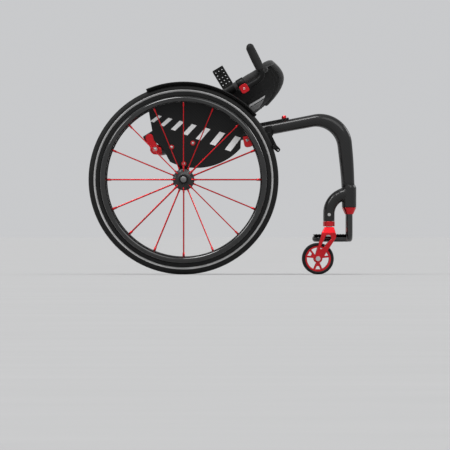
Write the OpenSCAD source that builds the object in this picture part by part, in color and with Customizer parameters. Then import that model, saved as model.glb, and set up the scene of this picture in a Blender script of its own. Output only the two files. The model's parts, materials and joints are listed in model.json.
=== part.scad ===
// Rigid-frame manual wheelchair whose backrest folds forward over the seat.
// +X is forward, +Y is the sitter's left, +Z is up. The origin is on the floor, on the
// centre plane, midway along the overall length. A left-hand part is drawn where it lies
// and mirrored to make the right-hand one.

/* [Rear wheels] */
// Outside diameter of the rear tyre
tyre_d = 590; // [584:1:594]
// Diameter of the tyre's round section
tyre_section = 25; // [24:0.5:26]
// Distance between the two wheels' middle planes
track = 490; // [486:1:500]
// Number of straight spokes in one wheel
spoke_count = 16; // [12:4:20]
// Diameter of one spoke
spoke_d = 3.6; // [3:0.1:4]
// Radius of the handrim's centreline
handrim_r = 250; // [249:1:251]
// Diameter of the handrim tube
handrim_d = 19; // [18:0.5:20]
// Distance the handrim stands out from the wheel's middle plane
handrim_out = 28; // [27:0.5:30]

/* [Frame] */
// Overall length of the chair with its backrest folded
length = 832; // [831:1:834]
// Distance between the centrelines of the two seat rails
rail_gauge = 366; // [362:1:368]
// Diameter of the seat rail
rail_d = 35; // [34:0.5:36]
// Slope of the seat rail, rising to the front
rail_slope = 10.8; // [10.6:0.1:11]
// Height of the rail's centreline over the front of the seat
rail_front_z = 470.7; // [469:0.1:472]
// Radius of the front bend's centreline
bend_r = 84; // [80:1:86]
// Diameter of the tube that joins the two wheel axles
camber_tube_d = 38; // [36:1:40]

/* [Seat and backrest] */
// Thickness of the seat sling's edge
sling_thick = 6; // [5:0.5:7]
// Depth that the seat sling sags between the rails
seat_sag = 28; // [20:1:30]
// Angle of the folded backrest above the horizontal
fold_angle = 31; // [31:1:34]
// Distance of the backrest canes from their hinge line
cane_offset = 38.7; // [38:0.1:40]
// Length of a backrest cane
cane_length = 400; // [396:1:404]
// Depth of the folded back sling below the canes
back_sag = 104; // [90:1:106]

/* [Casters and footrest] */
// Outside diameter of the caster tyre
caster_d = 98; // [96:1:98]
// Distance of the caster axle behind its swivel line
caster_trail = 34.6; // [33:0.1:36]
// Width of the caster tyre
caster_w = 28; // [26:1:28]
// Diameter of the footrest tube
foot_tube_d = 20; // [19:0.5:20]
// Height of the footrest tube's centreline over the floor
foot_z = 111.5; // [111.5:0.5:116]

/* [Hidden] */
$fn = 72;

// Colours
black = "#17181a";
carbon = "#1f2022";
rubber = "#111112";
red = "#c1202c";
steel = "#b9bcc0";
cloth = "#1b1b1d";

// Fits: gap between parts that slide or turn, wider gap between parts that pass
fit = 0.05;
gap = 0.4;

// Wheel and rail places
tyre_r = tyre_d / 2;
wheel_x = tyre_r - length / 2;
wheel_z = tyre_r;
wheel_y = track / 2;
side_y = rail_gauge / 2;
rail_r = rail_d / 2;
rail_front_x = 240.6;
rail_rear_x = -190;
function rail_z(x) = rail_front_z + tan(rail_slope) * (x - rail_front_x);

// Rim, measured from the wheel's axis and from its middle plane
rim_outer = 272;
rim_inner = 239.5;
rim_bed = 264;
rim_half = 10.5;
bead_half = 8.8;

// Hub, measured along the axle from the wheel's middle plane
hub_in = -31;
hub_out = 29;
flange_r = 33;
flange_mid = 22;
flange_half = 3;
bearing_w = 8;
bearing_r = 14;
axle_r = 6;
button_travel = 3;

// Side guard and fender
guard_in = 202;
guard_thick = 2.5;
fender_in = 300.5;
fender_thick = 2.5;
fender_out = 262;
fender_start = 41.6;
fender_sweep = 71;
guard_low_r = 187;
guard_low = [-82, 519];

// Bolts that hold the guard and the axle plate to the rail
rail_bolt_xs = [-158, -92];
carrier_bolt = [-120, 344];
bolt_r = 3;
bolt_head_r = 7.5;
plate_in = 155.5;
plate_out = 165;

// Front of the frame
node_r = 21.5;
node_x = length / 2 - node_r;
node_low = 208;
node_high = 272;
head_x = 331.6;
head_r = 17;
head_low = 165;
head_bend_z = 190;
upper_bearing = 188;
arm_bend_r = 62;
stem_r = 6;
collar_low = 149.5;
crown_top = 147.5;
caster_r = caster_d / 2;
caster_x = head_x - caster_trail;

// Footrest
foot_bend = 28;
foot_r = foot_tube_d / 2;
foot_back_x = 289;
foot_half = 108;
foot_top = 240;

// Backrest hinge and the parts on the canes, measured along the canes from the hinge
pivot_x = -210;
pivot_z = 389;
pin_r = 4;
cane_r = 11;
cane_low = -8;
sleeve_r = 15;
handle_y = side_y + 23;
handle_v = 18.5;
handle_r = 9.5;
handle_start = 318;
handle_bend_at = 385;
handle_bend_r = 25;
handle_bend_angle = 85;
grip_r = 13;
grip_length = 78;
clamp_at = 335;
clamp_size = 29;
plate_at = 296;

// Brake
brake_x = 144;
brake_z = 434;
presser_r = 6;
presser_angle = 19.9;
presser_gap = 0.5;
presser_dist = tyre_r + presser_r + presser_gap;
presser_x = wheel_x + presser_dist * cos(presser_angle);
presser_z = wheel_z + presser_dist * sin(presser_angle);
brake_plate_out = 207.9;
lever_thick = 5;

// Copies a left-hand part to the right-hand side as well
module both_sides() {
    children();
    mirror([0, 1, 0]) children();
}

module right_side() {
    mirror([0, 1, 0]) children();
}

// Extrudes an outline drawn in X and Z from y0 out to y1
module slab(y0, y1) {
    translate([0, y1, 0]) rotate([90, 0, 0]) linear_extrude(y1 - y0) children();
}

// A round bar across the chair
module cross_bar(x, z, r, y0, y1) {
    slab(y0, y1) translate([x, z]) circle(r);
}

// Places a lathe turned about +Z on the left wheel's axle, with +Z outboard
module on_wheel() {
    translate([wheel_x, wheel_y, wheel_z]) rotate([-90, 0, 0]) children();
}

module on_caster() {
    translate([caster_x, side_y, caster_r]) rotate([-90, 0, 0]) children();
}

// A round tube bend that starts at the origin along +X and turns towards +Z
module tube_bend(radius, r, angle) {
    translate([0, 0, radius]) rotate([90, 0, 0]) rotate([0, 0, -90])
        rotate_extrude(angle = angle) translate([radius, 0]) circle(r);
}

module after_bend(radius, angle) {
    translate([radius * sin(angle), 0, radius * (1 - cos(angle))]) rotate([0, -angle, 0]) children();
}

// A flat ring about +Z
module ring(outer, inner, height) {
    difference() {
        cylinder(r = outer, h = height);
        translate([0, 0, -1]) cylinder(r = inner, h = height + 2);
    }
}

// The backrest's own frame: X along the canes, Z away from the sitter, hinge at the origin
module on_backrest() {
    translate([pivot_x, 0, pivot_z]) rotate([0, -fold_angle, 0]) children();
}

// A tube swept through stations [x, z, heading, half width in the X-Z plane]
module swept_tube(stations, half_depth) {
    sides = 28;
    last = len(stations) - 1;
    points = [for (s = stations) for (k = [0:sides - 1])
        let (a = 360 * k / sides)
        [s[0] - s[3] * cos(a) * sin(s[2]), half_depth * sin(a), s[1] + s[3] * cos(a) * cos(s[2])]];
    walls = [for (i = [0:last - 1]) for (k = [0:sides - 1])
        let (m = (k + 1) % sides)
        [i * sides + k, i * sides + m, (i + 1) * sides + m, (i + 1) * sides + k]];
    rear_end = [for (k = [0:sides - 1]) sides - 1 - k];
    front_end = [for (k = [0:sides - 1]) last * sides + k];
    polyhedron(points, concat([rear_end], walls, [front_end]));
}

// A closed solid between two grids of points with the same rows and columns
module between_grids(top, low) {
    rows = len(top);
    cols = len(top[0]);
    count = rows * cols;
    points = concat([for (row = top) each row], [for (row = low) each row]);
    function at(i, j) = i * cols + j;
    skin = [for (i = [0:rows - 2]) for (j = [0:cols - 2])
        each [[at(i, j), at(i, j + 1), at(i + 1, j + 1)], [at(i, j), at(i + 1, j + 1), at(i + 1, j)]]];
    under = [for (t = skin) [t[0] + count, t[2] + count, t[1] + count]];
    rim = concat(
        [for (j = [0:cols - 2]) [at(0, j + 1), at(0, j)]],
        [for (j = [0:cols - 2]) [at(rows - 1, j), at(rows - 1, j + 1)]],
        [for (i = [0:rows - 2]) [at(i, 0), at(i + 1, 0)]],
        [for (i = [0:rows - 2]) [at(i + 1, cols - 1), at(i, cols - 1)]]);
    edge = [for (e = rim) each [[e[0], e[1], e[1] + count], [e[0], e[1] + count, e[0] + count]]];
    polyhedron(points, concat(skin, under, edge));
}

// ---- Rear wheel ----

module tyre() {
    color(rubber) on_wheel() rotate_extrude() {
        translate([tyre_r - tyre_section / 2, 0]) circle(tyre_section / 2);
        translate([rim_bed + 1, -bead_half]) square([8, 2 * bead_half]);
    }
}

module rim_section() {
    side = [[rim_inner, 4], [247, 8], [262, rim_half], [rim_outer, rim_half],
        [rim_outer, bead_half], [rim_bed + 1, bead_half], [rim_bed, 5]];
    polygon(concat(side, [for (i = [len(side) - 1:-1:0]) [side[i][0], -side[i][1]]]));
}

// The spokes run from alternate flanges to the middle of the rim
module spoke_rods(d) {
    from_r = 27;
    to_r = 246;
    tilt = atan(flange_mid / (to_r - from_r));
    for (k = [0:spoke_count - 1]) {
        side = k % 2 == 0 ? 1 : -1;
        rotate([0, 0, 360 * k / spoke_count]) translate([from_r, 0, side * flange_mid])
            rotate([0, 90 + side * tilt, 0]) cylinder(d = d, h = (to_r - from_r) / cos(tilt));
    }
}

module rim() {
    color(carbon) on_wheel() difference() {
        rotate_extrude() rim_section();
        spoke_rods(spoke_d + 2 * fit);
    }
}

module spokes() {
    color(red) on_wheel() spoke_rods(spoke_d);
}

module hub() {
    boss_r = 17;
    barrel_r = 14.5;
    scallop_r = 7;
    color(black) on_wheel() difference() {
        union() {
            translate([0, 0, hub_in]) cylinder(r = boss_r, h = 8);
            translate([0, 0, hub_out - 8]) cylinder(r = boss_r, h = 8);
            translate([0, 0, -flange_mid]) cylinder(r = barrel_r, h = 2 * flange_mid);
            for (side = [-1, 1]) translate([0, 0, side * flange_mid - flange_half])
                cylinder(r = flange_r, h = 2 * flange_half);
        }
        translate([0, 0, hub_in - 1]) cylinder(r = 10, h = hub_out - hub_in + 2);
        translate([0, 0, hub_in - 1]) cylinder(r = bearing_r, h = bearing_w + 1);
        translate([0, 0, hub_out - bearing_w]) cylinder(r = bearing_r, h = bearing_w + 1);
        for (k = [0:spoke_count - 1]) {
            side = k % 2 == 0 ? -1 : 1;
            rotate([0, 0, 360 * k / spoke_count])
                translate([flange_r + 3, 0, side * flange_mid - flange_half - 1])
                    cylinder(r = scallop_r, h = 2 * flange_half + 2);
        }
        spoke_rods(spoke_d + 2 * fit);
    }
}

module hub_bearings() {
    color(steel) on_wheel() for (z = [hub_in, hub_out - bearing_w])
        translate([0, 0, z]) ring(bearing_r, axle_r + fit, bearing_w);
}

module handrim() {
    tabs = 6;
    tab_r = 4.5;
    color(black) on_wheel() difference() {
        union() {
            translate([0, 0, handrim_out]) rotate_extrude() translate([handrim_r, 0])
                circle(handrim_d / 2);
            for (k = [0:tabs - 1]) rotate([0, 0, 360 * (k + 0.25) / tabs])
                translate([handrim_r, 0, 6]) cylinder(r = tab_r, h = handrim_out - 6);
        }
        rotate_extrude() rim_section();
    }
}

// Quick-release axle: a hollow pin whose button stem slides inside its outer end
module axle() {
    head = 3;
    stem_bore = 4.2;
    on_wheel() difference() {
        union() {
            translate([0, 0, -105]) cylinder(r = axle_r, h = 105 + hub_out + gap);
            translate([0, 0, hub_out + gap]) cylinder(r = 11, h = head);
        }
        translate([0, 0, 2]) cylinder(r = stem_bore, h = 40);
    }
}

module axles() {
    color(steel) both_sides() axle();
}

module axle_button() {
    stem = 4.15;
    cap_r = 9;
    cap_low = hub_out + gap + 3 + button_travel + gap;
    color("#3a3c40") on_wheel() {
        translate([0, 0, 8]) cylinder(r = stem, h = cap_low - 8);
        translate([0, 0, cap_low]) cylinder(r1 = cap_r, r2 = cap_r - 2.4, h = 2.6);
    }
}

// ---- Caster ----

module caster_tyre() {
    shoulder = 4.5;
    inner = 40;
    half = caster_w / 2;
    color(rubber) on_caster() rotate_extrude() {
        translate([inner, -half]) square([caster_r - shoulder - inner, caster_w]);
        translate([inner, shoulder - half]) square([caster_r - inner, caster_w - 2 * shoulder]);
        for (s = [-1, 1]) translate([caster_r - shoulder, s * (half - shoulder)]) circle(shoulder);
    }
}

// Three forked spokes join the caster hub to its ring
module caster_rim() {
    color(red) on_caster() difference() {
        union() {
            translate([0, 0, -12]) ring(40, 34.5, 24);
            translate([0, 0, -13]) cylinder(r = 13.5, h = 26);
            for (a = [-90, 30, 150]) rotate([0, 0, -a]) translate([0, 0, -7]) linear_extrude(14)
                difference() {
                    polygon([[11, -4.5], [36, -15.5], [36, 15.5], [11, 4.5]]);
                    polygon([[23, -3.8], [33.5, -8.6], [33.5, 8.6], [23, 3.8]]);
                }
        }
        translate([0, 0, -14]) cylinder(r = 5, h = 28);
        for (z = [-14, 6]) translate([0, 0, z]) cylinder(r = 11, h = 8);
    }
}

module caster_bearings() {
    color(steel) on_caster() for (z = [-13, 6])
        translate([0, 0, z]) ring(11, 4 + fit, 7);
}

module caster_axle() {
    color(steel) on_caster() {
        translate([0, 0, -24]) cylinder(r = 4, h = 48);
        for (z = [-16.9, 13 + gap]) translate([0, 0, z]) cylinder(r = 6, h = 3.5);
        translate([0, 0, 23]) cylinder(r = 7.5, h = 4);
        translate([0, 0, -27]) cylinder(r = 7.5, h = 4, $fn = 6);
    }
}

// Fork outline in X and Z, wide at the crown and narrow at the axle
module fork_outline() {
    hull() {
        translate([head_x - 13, crown_top - 10]) square([28, 10]);
        translate([head_x - 1, 121]) circle(22.8, $fn = 40);
        translate([caster_x, caster_r]) circle(11, $fn = 32);
    }
}

// Fork from the front: straight cheeks that lean in to a narrow crown
module fork_front(half, shoulder) {
    crown_half = 15;
    translate([caster_x - 100, side_y, 0]) rotate([90, 0, 90]) linear_extrude(200)
        polygon([[-half, 0], [half, 0], [half, shoulder], [crown_half, crown_top + 1],
            [-crown_half, crown_top + 1], [-half, shoulder]]);
}

module fork() {
    half = 23;
    slot_half = 17;
    slot_top = 126;
    color(red) difference() {
        intersection() {
            slab(side_y - half - 1, side_y + half + 1) difference() {
                fork_outline();
                hull() {
                    translate([head_x - 3, 114]) circle(9.5, $fn = 32);
                    translate([307.5, 82]) circle(3.5, $fn = 32);
                }
            }
            fork_front(half, slot_top + 3);
        }
        translate([caster_x - 100, side_y - slot_half, -10]) cube([200, 2 * slot_half, slot_top + 10]);
        translate([head_x, side_y, slot_top - 20]) cylinder(r = stem_r, h = 60);
        cross_bar(caster_x, caster_r, 4, side_y - 40, side_y + 40);
    }
}

module fork_stem() {
    color(steel) translate([head_x, side_y, 0]) {
        translate([0, 0, 118]) cylinder(r = 9, h = 8, $fn = 6);
        translate([0, 0, 120]) cylinder(r = stem_r, h = upper_bearing + bearing_w + 6 - 120);
        translate([0, 0, crown_top]) cylinder(r = 9, h = head_low + 1 - gap - crown_top);
        translate([0, 0, upper_bearing + bearing_w + gap]) cylinder(r = 10, h = 7);
    }
}

module head_bearings() {
    color(steel) both_sides() for (z = [head_low + 1, upper_bearing])
        translate([head_x, side_y, z]) ring(bearing_r, stem_r + fit, bearing_w);
}

module head_collars() {
    color(red) both_sides() translate([head_x, side_y, collar_low])
        ring(17.5, 9.5, head_low - collar_low);
}

module head_screws() {
    color(steel) both_sides() {
        cross_bar(head_x, 186, 2.5, side_y + 14.2, side_y + 15.5);
        cross_bar(head_x, 186, 5, side_y + 15.5, side_y + 19.5);
    }
}

// ---- Frame ----

// Centreline of a side frame: straight rail, constant bend, nearly upright down tube
down_heading = rail_slope - 96.6;
bend_in = [rail_front_x + 41, rail_z(rail_front_x + 41)];
bend_centre = [bend_in[0] + bend_r * sin(rail_slope), bend_in[1] - bend_r * cos(rail_slope)];
function on_bend(h, w) = [bend_centre[0] - bend_r * sin(h), bend_centre[1] + bend_r * cos(h), h, w];

module side_frame() {
    bend_steps = 14;
    top_half = 18;
    bend_half = 22.5;
    low_half = 19.3;
    frame_half_depth = rail_r;
    bend = [for (i = [0:bend_steps])
        let (t = i / bend_steps, h = rail_slope + t * (down_heading - rail_slope))
        on_bend(h, top_half + (bend_half - top_half) * sin(125 * t))];
    stations = concat(
        [[rail_rear_x, rail_z(rail_rear_x), rail_slope, rail_r],
            [200, rail_z(200), rail_slope, rail_r]],
        bend,
        [[388.2, 330, -87, 20], [391.4, node_high, -90, low_half]]);
    color(carbon) difference() {
        translate([0, side_y, 0]) swept_tube(stations, frame_half_depth);
        for (x = rail_bolt_xs) cross_bar(x, rail_z(x) + 1, bolt_r, side_y - 30, side_y + 30);
    }
}

// Node that carries the footrest tube and, on a swan-neck arm, the caster head
module front_node() {
    bend_steps = 8;
    arm_angle = 65;
    arm_growth = 2.5;
    reach = 18;
    bend = [for (i = [0:bend_steps])
        let (t = i / bend_steps, a = arm_angle * t)
        [head_x + arm_bend_r * (1 - cos(a)), head_bend_z + arm_bend_r * sin(a), 90 - a,
            head_r + arm_growth * t]];
    last = bend[bend_steps];
    tip = [last[0] + reach * cos(last[2]), last[1] + reach * sin(last[2]), last[2], last[3]];
    bore_top = upper_bearing + bearing_w + 9;
    color(carbon) difference() {
        union() {
            translate([node_x, side_y, node_low]) cylinder(r = node_r, h = node_high - node_low);
            translate([0, side_y, 0])
                swept_tube(concat([[head_x, head_low, 90, head_r]], bend, [tip]), head_r);
        }
        translate([head_x, side_y, head_low - 1]) cylinder(r = bearing_r, h = bore_top - head_low + 1);
        translate([node_x, side_y, node_low - 1]) cylinder(r = foot_r + fit, h = foot_top + 2 - node_low);
        cross_bar(head_x, 186, 2.5, side_y + 10, side_y + 20);
        cross_bar(head_x, 186, 5, side_y + 15.5, side_y + 20);
    }
}

module camber_tube() {
    color(black) difference() {
        cross_bar(wheel_x, wheel_z, camber_tube_d / 2, -206, 206);
        cross_bar(wheel_x, wheel_z, camber_tube_d / 2 - 3, -207, 207);
    }
}

module axle_receivers() {
    outer = camber_tube_d / 2 - 3;
    color(steel) both_sides() difference() {
        union() {
            cross_bar(wheel_x, wheel_z, outer, 146, 206);
            cross_bar(wheel_x, wheel_z, 18, 206, 209);
            cross_bar(wheel_x, wheel_z, 9, 209, wheel_y + hub_in - gap);
        }
        cross_bar(wheel_x, wheel_z, axle_r, 140, 230);
    }
}

// Plate that hangs the camber tube from two bolts on the rail
module axle_plate() {
    ring_r = 27;
    bolts = [for (x = rail_bolt_xs) [x, rail_z(x) + 1]];
    difference() {
        union() {
            slab(plate_in, plate_out) {
                hull() for (b = bolts) translate(b) circle(10, $fn = 32);
                polygon([[-166, 390], [-84, 404], [-104, 340], [-106, 310], [-136, 310], [-138, 340]]);
            }
            cross_bar(wheel_x, wheel_z, ring_r, 150, 176);
        }
        cross_bar(wheel_x, wheel_z, camber_tube_d / 2, 140, 190);
        for (b = concat(bolts, [carrier_bolt])) cross_bar(b[0], b[1], bolt_r, 140, 190);
    }
}

module axle_plates() {
    color(black) both_sides() axle_plate();
}

// One bolt through the guard, the rail or a spacer, and the axle plate, with its nut
module through_bolt(at) {
    cross_bar(at[0], at[1], bolt_r, plate_in - 6, guard_in + guard_thick + 1);
    cross_bar(at[0], at[1], bolt_head_r, guard_in + guard_thick, guard_in + guard_thick + 3.5);
    slab(plate_in - 6, plate_in) translate(at) circle(6.5, $fn = 6);
}

module frame_bolts() {
    color(red) both_sides() {
        for (x = rail_bolt_xs) through_bolt([x, rail_z(x) + 1]);
        through_bolt(carrier_bolt);
        cross_bar(carrier_bolt[0], carrier_bolt[1], 6, plate_out, guard_in);
    }
}

// Tube under the front of the seat and the clamps that hang it from the rails
clamp_x = 80;
cross_tube_z = 409;
cross_tube_r = 9.5;

module cross_tube() {
    color(black) cross_bar(clamp_x, cross_tube_z, cross_tube_r, -200, 200);
}

module rail_clamps() {
    color(red) both_sides() difference() {
        translate([clamp_x, 0, cross_tube_z + 6]) rotate([0, -rail_slope, 0]) slab(163, 202)
            hull() {
                translate([-14, -6]) square([28, 22]);
                translate([-4, -8]) circle(10, $fn = 32);
                translate([4, -8]) circle(10, $fn = 32);
            }
        translate([0, side_y, 0]) rail_bar(rail_r + fit);
        cross_bar(clamp_x, cross_tube_z, cross_tube_r, 150, 200);
    }
}

// The straight part of the rail as a plain bar
module rail_bar(r) {
    translate([rail_rear_x, 0, rail_z(rail_rear_x)]) rotate([0, 90 - rail_slope, 0])
        cylinder(r = r, h = 420);
}

// Guard plate beside the sitter with a fender that curls out over the tyre
module guard_outline() {
    rear_edge = [[-240, 610], [-236, 572], [-228, 501], [-213, 416], [-184, 392], [-172, 366],
        [-146, 320]];
    front_edge = [[52, 320], [58, 428], [84, 468], [150, 560], [150, 610]];
    intersection() {
        translate([wheel_x, wheel_z]) circle(fender_in + fender_thick / 2);
        translate(guard_low) circle(guard_low_r);
        polygon(concat(rear_edge, front_edge));
    }
}

module side_guard() {
    color(carbon) difference() {
        union() {
            slab(guard_in, guard_in + guard_thick) guard_outline();
            translate([wheel_x, fender_out, wheel_z]) rotate([90, 0, 0]) rotate([0, 0, fender_start])
                rotate_extrude(angle = fender_sweep) {
                    translate([fender_in, 0]) square([fender_thick, fender_out - guard_in]);
                    translate([fender_in + fender_thick / 2, 0]) circle(2.2, $fn = 32);
                }
        }
        for (x = rail_bolt_xs) cross_bar(x, rail_z(x) + 1, bolt_r, guard_in - 5, guard_in + 10);
        cross_bar(carrier_bolt[0], carrier_bolt[1], bolt_r, guard_in - 5, guard_in + 10);
    }
}

// Tongue that closes the rear end of the rail and carries the backrest hinge
module hinge_bracket() {
    tongue_r = 15;
    difference() {
        union() {
            slab(side_y - 7, side_y + 7) hull() {
                translate([pivot_x, pivot_z]) circle(tongue_r, $fn = 32);
                translate([rail_rear_x - 6, rail_z(rail_rear_x)]) circle(tongue_r, $fn = 32);
            }
            translate([rail_rear_x, side_y, rail_z(rail_rear_x)]) rotate([0, -90 - rail_slope, 0])
                cylinder(r = rail_r, h = 7);
        }
        cross_bar(pivot_x, pivot_z, pin_r, side_y - 30, side_y + 30);
        translate([rail_rear_x, side_y, rail_z(rail_rear_x)]) rotate([0, 90 - rail_slope, 0])
            cylinder(r = 40, h = 80);
    }
}

module hinge_brackets() {
    color(red) both_sides() hinge_bracket();
}

module hinge_pins() {
    color(steel) both_sides() {
        cross_bar(pivot_x, pivot_z, pin_r, side_y - 12, side_y + 19);
        cross_bar(pivot_x, pivot_z, 7, side_y + 18, side_y + 21);
        cross_bar(pivot_x, pivot_z, 7, side_y - 12, side_y - 7);
    }
}

// ---- Seat ----

module seat_sling() {
    rear = -192;
    front = 204;
    steps = 10;
    half = side_y + 4;
    lift = rail_r / cos(rail_slope) + gap;
    function row(x, up) = [for (k = [-12:12])
        let (s = k / 12, flat = max(0, (abs(s) - 0.93) / 0.07))
        [x, half * s, rail_z(x) + lift + up - seat_sag * (1 - pow(min(abs(s) / 0.93, 1), 2.2))]];
    xs = [for (i = [0:steps]) rear + (front - rear) * i / steps];
    color(cloth) between_grids(
        [for (x = xs) [for (k = [24:-1:0]) row(x, sling_thick)[k]]],
        [for (x = xs) [for (k = [24:-1:0]) row(x, 0)[k]]]);
}

module seat_caps() {
    cap_x = 192;
    color(red) both_sides()
        translate([cap_x, side_y, rail_z(cap_x) + rail_r / cos(rail_slope) + gap + sling_thick + 0.2])
            rotate([0, -rail_slope, 0]) {
                cylinder(r = 7, h = 5);
                translate([0, 0, 5]) cylinder(r1 = 7, r2 = 5, h = 3);
            }
}

// ---- Footrest ----

module footrest_cones() {
    color(red) both_sides() difference() {
        translate([node_x, side_y, 187.5]) cylinder(r1 = 12, r2 = node_r, h = node_low - 187.5);
        translate([node_x, side_y, 180]) cylinder(r = foot_r, h = 40);
    }
}

// Two uprights joined by a front bar, with a loop behind it that carries the footplate
module footrest_tube() {
    loop_bend = 26;
    color(black) union() {
        both_sides() {
            translate([node_x, side_y, foot_z + foot_bend])
                cylinder(r = foot_r, h = foot_top - foot_z - foot_bend);
            translate([node_x, side_y - foot_bend, foot_z]) rotate([0, 0, 90])
                tube_bend(foot_bend, foot_r, 90);
            translate([foot_back_x + loop_bend, foot_half, foot_z]) rotate([0, 90, 0])
                cylinder(r = foot_r, h = node_x - foot_back_x - loop_bend);
            translate([foot_back_x, foot_half - loop_bend, foot_z]) rotate([0, 0, 90]) rotate([90, 0, 0])
                tube_bend(loop_bend, foot_r, 90);
        }
        cross_bar(node_x, foot_z, foot_r, foot_bend - side_y, side_y - foot_bend);
        cross_bar(foot_back_x, foot_z, foot_r, loop_bend - foot_half, foot_half - loop_bend);
    }
}

module footplate() {
    corner = 14;
    low = foot_z + foot_r;
    color(black) translate([0, 0, low]) linear_extrude(3) hull()
        for (x = [foot_back_x + 8, node_x - 6], y = [-foot_half, foot_half])
            translate([x, y]) circle(corner, $fn = 32);
}

// ---- Brake ----

module brake_clamps() {
    band = 21.5;
    head_at = brake_plate_out + lever_thick + 0.8;
    color(black) both_sides() {
        difference() {
            union() {
                translate([brake_x, side_y, rail_z(brake_x)]) rotate([0, 90 - rail_slope, 0])
                    translate([0, 0, -10]) cylinder(r = band, h = 20);
                slab(side_y + rail_r, brake_plate_out) hull() {
                    translate([brake_x, brake_z]) circle(8, $fn = 32);
                    translate([brake_x - 2, rail_z(brake_x) + 4]) circle(9, $fn = 32);
                }
            }
            translate([0, side_y, 0]) rail_bar(rail_r);
            translate([brake_x, side_y, rail_z(brake_x)]) rotate([0, -rail_slope, 0])
                translate([-20, -30, 9]) cube([40, 60, 20]);
            cross_bar(brake_x, brake_z, 3, 190, 230);
        }
        cross_bar(brake_x, brake_z, 3, side_y + rail_r, head_at + 1);
        cross_bar(brake_x, brake_z, 6, head_at, head_at + 2.2);
    }
}

// Lever arm with a finger tab and the bar that presses on the tyre
module brake_lever() {
    arm_in = brake_plate_out + gap;
    tab = [presser_x + 11, presser_z - 10];
    color(black) difference() {
        union() {
            slab(arm_in, arm_in + lever_thick - gap) {
                hull() {
                    translate([brake_x, brake_z]) circle(7.5, $fn = 32);
                    translate([presser_x, presser_z]) circle(7, $fn = 32);
                }
                hull() {
                    translate([presser_x, presser_z]) circle(7, $fn = 32);
                    translate(tab) circle(6, $fn = 32);
                }
            }
            cross_bar(presser_x, presser_z, presser_r, arm_in, fender_out);
        }
        cross_bar(brake_x, brake_z, 3 + fit, arm_in - 5, arm_in + 10);
        cross_bar(tab[0], tab[1], 2.5, arm_in - 5, arm_in + 10);
    }
}

// ---- Backrest ----

module along_cane(at, y, v, r, length) {
    translate([at, y, v]) rotate([0, 90, 0]) cylinder(r = r, h = length);
}

module canes() {
    color(black) on_backrest() both_sides()
        along_cane(cane_low, side_y, cane_offset, cane_r, cane_length - cane_low);
}

// Red lug that turns on the hinge pin and holds the foot of the cane
module hinge_lug() {
    plate_low = side_y + 7 + gap;
    plate_high = side_y + 17.5;
    difference() {
        union() {
            slab(plate_low, plate_high) hull() {
                circle(11, $fn = 32);
                translate([4, cane_offset]) circle(13, $fn = 32);
            }
            along_cane(cane_low - 5, side_y, cane_offset, sleeve_r, 42);
        }
        along_cane(cane_low, side_y, cane_offset, cane_r, 60);
        cross_bar(0, 0, pin_r + fit, side_y - 30, side_y + 30);
    }
}

module hinge_lugs() {
    color(red) on_backrest() both_sides() hinge_lug();
}

// Handle tube: straight beside the cane, then bent up to the grip
module handle_path() {
    steps = 8;
    centre = [handle_bend_at, handle_v + handle_bend_r];
    bend = [for (i = [0:steps])
        let (h = handle_bend_angle * i / steps)
        [centre[0] + handle_bend_r * sin(h), centre[1] - handle_bend_r * cos(h), h, handle_r]];
    last = bend[steps];
    tip = [last[0] + grip_length * cos(last[2]), last[1] + grip_length * sin(last[2]), last[2], handle_r];
    translate([0, handle_y, 0])
        swept_tube(concat([[handle_start, handle_v, 0, handle_r]], bend, [tip]), handle_r);
}

module handle_tubes() {
    color(black) on_backrest() both_sides() handle_path();
}

// Rubber grip with a domed end, closed over the end of the handle tube
module grips() {
    color(rubber) on_backrest() both_sides() translate([handle_bend_at, handle_y, handle_v])
        after_bend(handle_bend_r, handle_bend_angle) rotate([0, 90, 0]) difference() {
            union() {
                cylinder(r = grip_r, h = grip_length);
                translate([0, 0, grip_length]) sphere(grip_r);
            }
            translate([0, 0, -1]) cylinder(r = handle_r, h = grip_length + 1);
        }
}

module handle_clamps() {
    half = clamp_size / 2;
    color(red) on_backrest() both_sides() difference() {
        union() {
            translate([clamp_at - half, handle_y - 13, handle_v - half]) cube([clamp_size, 26, clamp_size]);
            along_cane(clamp_at - 12, side_y, cane_offset, sleeve_r, 24);
        }
        along_cane(clamp_at - 30, side_y, cane_offset, cane_r, 60);
        along_cane(clamp_at - 30, handle_y, handle_v, handle_r, 60);
        translate([clamp_at, handle_y + 9, handle_v]) rotate([-90, 0, 0]) cylinder(r = 4.5, h = 5);
    }
}

// Perforated plates that stand off behind the canes and carry the crossbar
module carrier_plates() {
    width = 36;
    reach = 66;
    hole_r = 2.6;
    color(black) on_backrest() both_sides() difference() {
        union() {
            along_cane(plate_at - 15, side_y, cane_offset, sleeve_r, 30);
            translate([plate_at - width / 2, side_y - 2, cane_offset + 11]) cube([width, 4, reach]);
        }
        along_cane(plate_at - 30, side_y, cane_offset, cane_r, 60);
        for (row = [-11, 0, 11], k = [0:4]) translate([plate_at + row, side_y - 5, cane_offset + 24 + 11 * k])
            rotate([-90, 0, 0]) cylinder(r = hole_r, h = 10);
    }
}

module crossbar() {
    color(black) on_backrest() cross_bar(plate_at, cane_offset + 57, 9, 2 - side_y, side_y - 2);
}

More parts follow.
